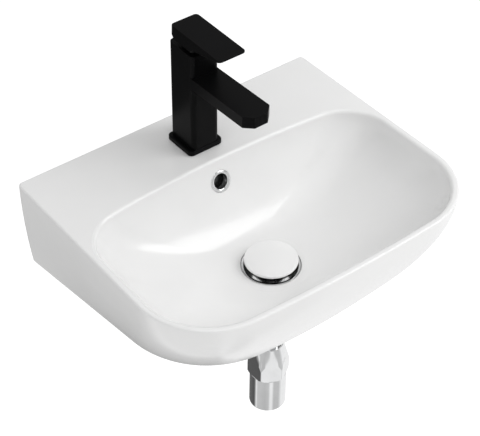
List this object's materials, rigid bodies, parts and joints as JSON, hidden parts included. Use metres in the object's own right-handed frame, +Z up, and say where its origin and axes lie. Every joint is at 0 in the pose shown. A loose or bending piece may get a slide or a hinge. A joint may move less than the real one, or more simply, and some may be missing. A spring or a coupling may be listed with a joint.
{
  "type": "wall hung basin with mixer tap",
  "caption": "Compact ceramic basin that hangs on a wall, with a deck mounted lever mixer tap, an overflow, a push plug and the first fittings of its waste pipe.",
  "frame": {"origin": "midway between the two wall bolt holes, on the wall face", "axes": "+X to the right seen from the front, +Y into the wall, +Z up"},
  "size_m": [0.435, 0.3499, 0.4918],
  "materials": {
    "ceramic": "white glaze, glossy",
    "satin_black": "satin black coating",
    "black_plastic": "matt",
    "chrome": "polished",
    "brass": "machined",
    "steel": "plain",
    "rubber": "matt",
    "white_plastic": "moulded",
    "disc_ceramic": "lapped"
  },
  "bodies": {
    "fixture": {"aerator_housing": "chrome", "aerator_insert": "white_plastic", "aerator_seal": "rubber", "basin": "ceramic", "cartridge_base": "white_plastic", "cartridge_housing": "white_plastic", "cartridge_nut": "brass", "cartridge_seals": "rubber", "cartridge_shroud": "satin_black", "fixed_disc": "disc_ceramic", "fixing_nut": "steel", "fixing_stud": "steel", "horseshoe_seal": "rubber", "horseshoe_washer": "steel", "latch_housing": "white_plastic", "latch_spring": "steel", "outlet_nut": "chrome", "outlet_socket": "chrome", "outlet_washer": "rubber", "overflow_ring": "chrome", "tail_pipe": "chrome", "tail_union_nut": "chrome", "tail_washer": "rubber", "tap_base_plate": "satin_black", "tap_base_seal": "rubber", "tap_body": "satin_black", "waste_back_nut": "chrome", "waste_body": "chrome", "waste_flange_seal": "rubber", "waste_lower_seal": "rubber", "waste_washer": "white_plastic"},
    "swivel": {"cartridge_carrier": "white_plastic", "stem_pin": "steel"},
    "lever": {"cartridge_stem": "steel", "lever_handle": "satin_black", "lever_screw": "steel", "lever_plug": "black_plastic"},
    "disc": {"moving_disc": "disc_ceramic", "disc_slider": "white_plastic"},
    "plug": {"plug_cap": "ceramic", "plug_carrier": "black_plastic", "plug_seal": "rubber", "plug_stem": "steel", "stem_clip": "steel"}
  },
  "joints": [
    {"name": "lever_swivel", "type": "hinge", "parent": "fixture", "child": "swivel", "pos_m": [0, -0.059, 0.2], "axis": [0, 0, 1], "range_deg": [-45, 45]},
    {"name": "lever_lift", "type": "hinge", "parent": "swivel", "child": "lever", "pos_m": [0, -0.059, 0.2], "axis": [-1, 0, 0], "range_deg": [0, 20]},
    {"name": "disc_slide", "type": "slide", "parent": "swivel", "child": "disc", "axis": [0, -1, 0], "range_m": [0, 0.0031]},
    {"name": "plug_press", "type": "slide", "parent": "fixture", "child": "plug", "axis": [0, 0, -1], "range_m": [0, 0.006], "deforming": ["latch_spring"]}
  ],
  "couplings": [
    {"joint": "disc_slide", "follows": "lever_lift", "m_per_rad": 0.0086}
  ]
}
